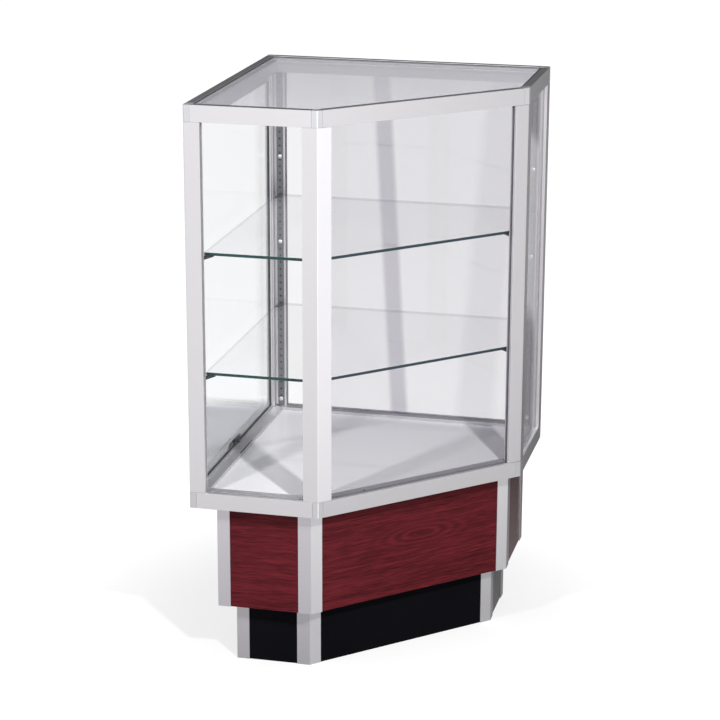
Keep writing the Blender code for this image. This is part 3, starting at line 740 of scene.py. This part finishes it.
# Painted shadow: a dark strip along the bottom rail's inner edge behind the lock.
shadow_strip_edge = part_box("deck_panel")[0][0] - SHADOW_STRIP_GAP
shadow_strip_low = (shadow_strip_edge - SHADOW_STRIP_WIDTH, SHADOW_STRIP_FROM, ledge - SHADOW_STRIP_BELOW)
shadow_strip_high = (shadow_strip_edge, SHADOW_STRIP_TO, ledge + SHADOW_STRIP_ABOVE)
strip("rail_shadow_strip", shadow_strip_low, shadow_strip_high, SHADOW_STRIP_EDGE, lock_metal, "case")
plug_x, plug_y = PLUG_PLACE
plug_rows = []
for radius, height in PLUG_PROFILE:
    ring = []
    for angle in np.linspace(0, math.tau, PLUG_SIDES, endpoint=False):
        spot = (plug_x + radius * math.cos(angle), plug_y + radius * math.sin(angle), ledge + height)
        ring.append(spot)
    plug_rows.append(ring)
skin("rail_plug", plug_rows, rubber, "case")
glazing_seal("top_glass_seal", "top_glass", rubber, "case")
print("fixings", len(STANDARD_SCREWS) * 2 + 5)

# %% [markdown]
# The studio is a white floor under a soft sky. The sky that lights the case is bright in front and on the
# left and dim behind and on the right, so each face of the case gets its own tone. The camera itself sees
# plain white round the case: the floor gives a little light of its own to camera rays, just enough to
# lose its own shading and keep the soft shadow. To all other rays the floor is bright in front and dim
# behind, with one bright strip that leads away behind the case for the glass and metal to mirror.

# %% Studio
FLOOR_HALF = 30.0
LAMP_TARGET = Vector((0, 0, 0.5))
NEAR_LIFT = 0.69
FAR_LIFT = 0.93
LIFT_STARTS = 0.30
LIFT_ENDS = 0.80
SKY_FRONT = 0.60
SKY_BACK = 0.30
MIRRORED_SKY_BACK = 0.10
MIRRORED_FLOOR_FRONT = 0.90
MIRRORED_FLOOR_BACK = 0.04
MIRRORED_STRIP = 1.50
FLOOR_SLANT = 0.6
FLOOR_FADES = (-0.7, 1.1)
NEAR_CASE = (0.2, 1.8)
NEAR_CASE_SHARE = 0.43
STRIP_STARTS = (1.10, 1.18)
STRIP_LEFT = 0.30
STRIP_SLANT = 0.32
STRIP_ENDS = (0.14, 0.22)
FLOOR_PAPER = (0.30, 0.30, 0.30)
MIRRORED_PAPER = (0.04, 0.04, 0.04)
SKY_WAY = (0.45, 0.89, 0)
SKY_FADES = (-0.5, 0.7)
LAMPS = (
    ("right_lamp", (1.16, -1.73, 1.85), 0.10, 52),
    ("left_lamp", (-0.77, -1.74, 2.2), 0.10, 22),
    ("top", (0, 0, 2.8), 1.6, 14),
)


def studio_floor():
    """White paper. The light of its own that it gives depends on who looks: the camera, or a mirror."""
    mesh = bpy.data.meshes.new("studio_floor")
    corners = [(-1, -1), (1, -1), (1, 1), (-1, 1)]
    mesh.from_pydata([(x * FLOOR_HALF, y * FLOOR_HALF, 0) for x, y in corners], [], [(0, 1, 2, 3)])
    floor = bpy.data.objects.new("studio_floor", mesh)
    bpy.context.scene.collection.objects.link(floor)
    finish = Finish("floor_paper", FLOOR_PAPER, 0.9, Specular_IOR_Level=0.0, Emission_Strength=1.0)
    x, y = finish.axes()[:2]
    distance = (x * x + y * y).math("SQRT")
    camera_ray = finish.node("ShaderNodeLightPath", output="Is Camera Ray")
    lift = distance.step(LIFT_STARTS, LIFT_ENDS) * (FAR_LIFT - NEAR_LIFT) + NEAR_LIFT
    behind = (x.math("MINIMUM", 0.0) * FLOOR_SLANT + y).step(*FLOOR_FADES)
    mirrored = behind * (MIRRORED_FLOOR_BACK - MIRRORED_FLOOR_FRONT) + MIRRORED_FLOOR_FRONT
    # Painted shade: what mirrors see of the floor is dimmer near the case.
    dimmed = mirrored * (distance.step(*NEAR_CASE) * (1 - NEAR_CASE_SHARE) + NEAR_CASE_SHARE)
    off_strip = (x + STRIP_LEFT - y * STRIP_SLANT).math("ABSOLUTE")
    bright_strip = y.step(*STRIP_STARTS) * (1 - off_strip.step(*STRIP_ENDS)) * MIRRORED_STRIP
    glow = camera_ray * lift + (1 - camera_ray) * (dimmed + bright_strip)
    finish.set("Emission Color", finish.blend(glow, (0, 0, 0), (1, 1, 1)))
    glossy_ray = finish.node("ShaderNodeLightPath", output="Is Glossy Ray")
    finish.set("Base Color", finish.blend(glossy_ray, FLOOR_PAPER, MIRRORED_PAPER))
    mesh.materials.append(finish.material)


def lamp(name, place, size, power):
    """A soft square white lamp that looks at the case. The camera doesn't see it, only its light."""
    data = bpy.data.lights.new(name, "AREA")
    data.size = size
    data.energy = power
    made = bpy.data.objects.new(name, data)
    made.location = place
    made.rotation_euler = (LAMP_TARGET - Vector(place)).to_track_quat("-Z", "Y").to_euler()
    made.visible_camera = False
    bpy.context.scene.collection.objects.link(made)


def studio_world():
    """White to the camera; to all other rays a sky that dims from the front left to the back right."""
    world = bpy.data.worlds.new("studio")
    bpy.context.scene.world = world
    world.use_nodes = True
    tree = world.node_tree
    tree.nodes.clear()
    path = tree.nodes.new("ShaderNodeLightPath")
    way = tree.nodes.new("ShaderNodeTexCoord")
    dot = tree.nodes.new("ShaderNodeVectorMath")
    dot.operation = "DOT_PRODUCT"
    dot.inputs[1].default_value = SKY_WAY
    tree.links.new(way.outputs["Generated"], dot.inputs[0])
    sky = tree.nodes.new("ShaderNodeMapRange")
    sky.interpolation_type = "SMOOTHSTEP"
    sky.inputs["From Min"].default_value, sky.inputs["From Max"].default_value = SKY_FADES
    sky.inputs["To Min"].default_value = SKY_FRONT
    back = tree.nodes.new("ShaderNodeMix")
    back.inputs[2].default_value = SKY_BACK
    back.inputs[3].default_value = MIRRORED_SKY_BACK
    tree.links.new(path.outputs["Is Glossy Ray"], back.inputs[0])
    tree.links.new(back.outputs[0], sky.inputs["To Max"])
    tree.links.new(dot.outputs["Value"], sky.inputs["Value"])
    strength = tree.nodes.new("ShaderNodeMix")
    strength.inputs[3].default_value = 1.0
    tree.links.new(path.outputs["Is Camera Ray"], strength.inputs[0])
    tree.links.new(sky.outputs[0], strength.inputs[2])
    background = tree.nodes.new("ShaderNodeBackground")
    tree.links.new(strength.outputs[0], background.inputs["Strength"])
    output = tree.nodes.new("ShaderNodeOutputWorld")
    tree.links.new(background.outputs[0], output.inputs[0])


studio_floor()
studio_world()
for settings in LAMPS:
    lamp(*settings)
bpy.context.scene.view_settings.view_transform = "Standard"
bpy.context.scene.cycles.transparent_max_bounces = 32
print("studio with", len(LAMPS), "lamps")
